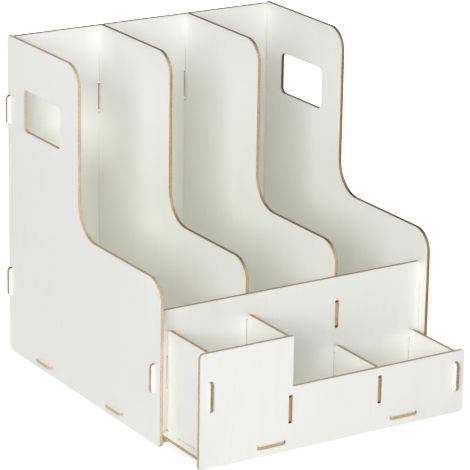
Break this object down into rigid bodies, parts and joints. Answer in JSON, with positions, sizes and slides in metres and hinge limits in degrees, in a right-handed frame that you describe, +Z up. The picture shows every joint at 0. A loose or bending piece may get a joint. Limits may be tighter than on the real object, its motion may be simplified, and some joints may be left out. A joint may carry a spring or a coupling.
{
  "type": "document organizer",
  "caption": "Desk organizer of thin white boards that plug together with tabs and slots: tall compartments for upright documents behind, a low tray with a taller pen cup in front.",
  "frame": {"origin": "on the desk, under the middle of the organizer's bounding box", "axes": "+X to the right as seen from the front, +Y to the back, +Z up"},
  "size_m": [0.287, 0.341, 0.3045],
  "materials": {
    "board": "fibreboard with smooth white faces and bare brown cut edges"
  },
  "bodies": {
    "root": {"left_side_panel": "board", "right_side_panel": "board", "left_divider": "board", "right_divider": "board", "back_panel": "board", "base_panel": "board", "front_panel": "board", "tray_front": "board", "tray_left_wall": "board", "pen_cup_wall": "board", "tray_divider": "board", "tray_right_wall": "board", "tray_floor": "board"}
  },
  "joints": []
}
